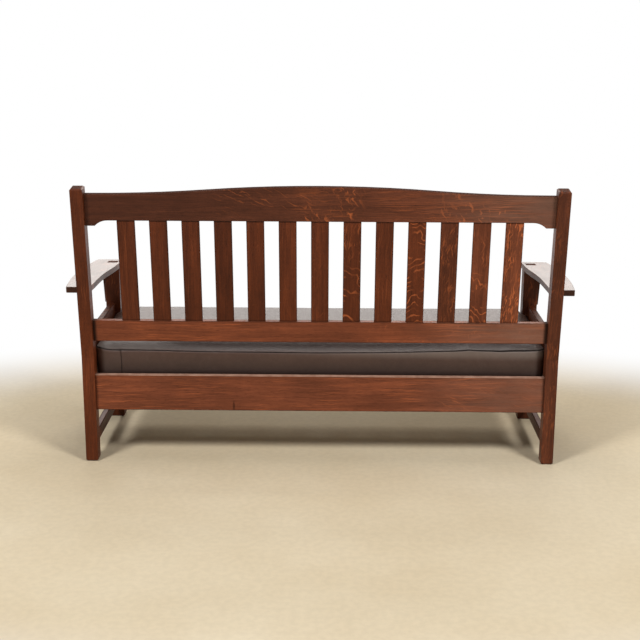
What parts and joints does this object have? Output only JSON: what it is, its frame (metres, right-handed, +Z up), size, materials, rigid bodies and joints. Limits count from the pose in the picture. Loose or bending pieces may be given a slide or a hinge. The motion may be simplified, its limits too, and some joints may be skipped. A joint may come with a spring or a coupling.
{
  "type": "settle",
  "caption": "Long wooden settle with a raked slatted back, a low waved crest rail, broad arms on corbels with through tenons, and one loose leather seat cushion that lifts out.",
  "frame": {"origin": "on the floor, under the middle of the box around the whole settle", "axes": "+X along the settle to the viewer's right from the front, +Y to the back, +Z up; the open front faces -Y"},
  "size_m": [1.8612, 0.675, 1.0363],
  "materials": {
    "stained_oak": "dark reddish-brown stained quarter-sawn oak, satin",
    "plain_oak": "unstained oak, matte",
    "screw_steel": "satin",
    "brown_leather": "dark brown leather, satin sheen"
  },
  "bodies": {
    "frame": {"rear_post_left": "stained_oak", "rear_post_right": "stained_oak", "front_leg_left": "stained_oak", "front_leg_right": "stained_oak", "crest_rail": "stained_oak", "lower_back_rail": "stained_oak", "back_slat_01": "stained_oak", "back_slat_02": "stained_oak", "back_slat_03": "stained_oak", "back_slat_04": "stained_oak", "back_slat_05": "stained_oak", "back_slat_06": "stained_oak", "back_slat_07": "stained_oak", "back_slat_08": "stained_oak", "back_slat_09": "stained_oak", "back_slat_10": "stained_oak", "back_slat_11": "stained_oak", "back_slat_12": "stained_oak", "back_slat_13": "stained_oak", "rear_seat_rail": "stained_oak", "front_seat_rail": "stained_oak", "side_rail_left": "stained_oak", "side_rail_right": "stained_oak", "side_stretcher_left": "stained_oak", "side_stretcher_right": "stained_oak", "arm_left": "stained_oak", "arm_right": "stained_oak", "corbel_left": "stained_oak", "corbel_right": "stained_oak", "rear_deck_cleat": "plain_oak", "front_deck_cleat": "plain_oak", "deck_slat_01": "plain_oak", "deck_slat_02": "plain_oak", "deck_slat_03": "plain_oak", "deck_slat_04": "plain_oak", "deck_slat_05": "plain_oak", "deck_slat_06": "plain_oak", "deck_slat_07": "plain_oak", "deck_slat_08": "plain_oak", "deck_slat_09": "plain_oak", "deck_slat_10": "plain_oak", "deck_slat_11": "plain_oak", "arm_dowels": "plain_oak", "deck_screws": "screw_steel", "cleat_screws": "screw_steel"},
    "cushion": {"seat_cushion": "brown_leather"}
  },
  "joints": [
    {"name": "cushion_lift", "type": "slide", "parent": "frame", "child": "cushion", "axis": [0, 0, 1], "range_m": [0, 0.12]}
  ]
}
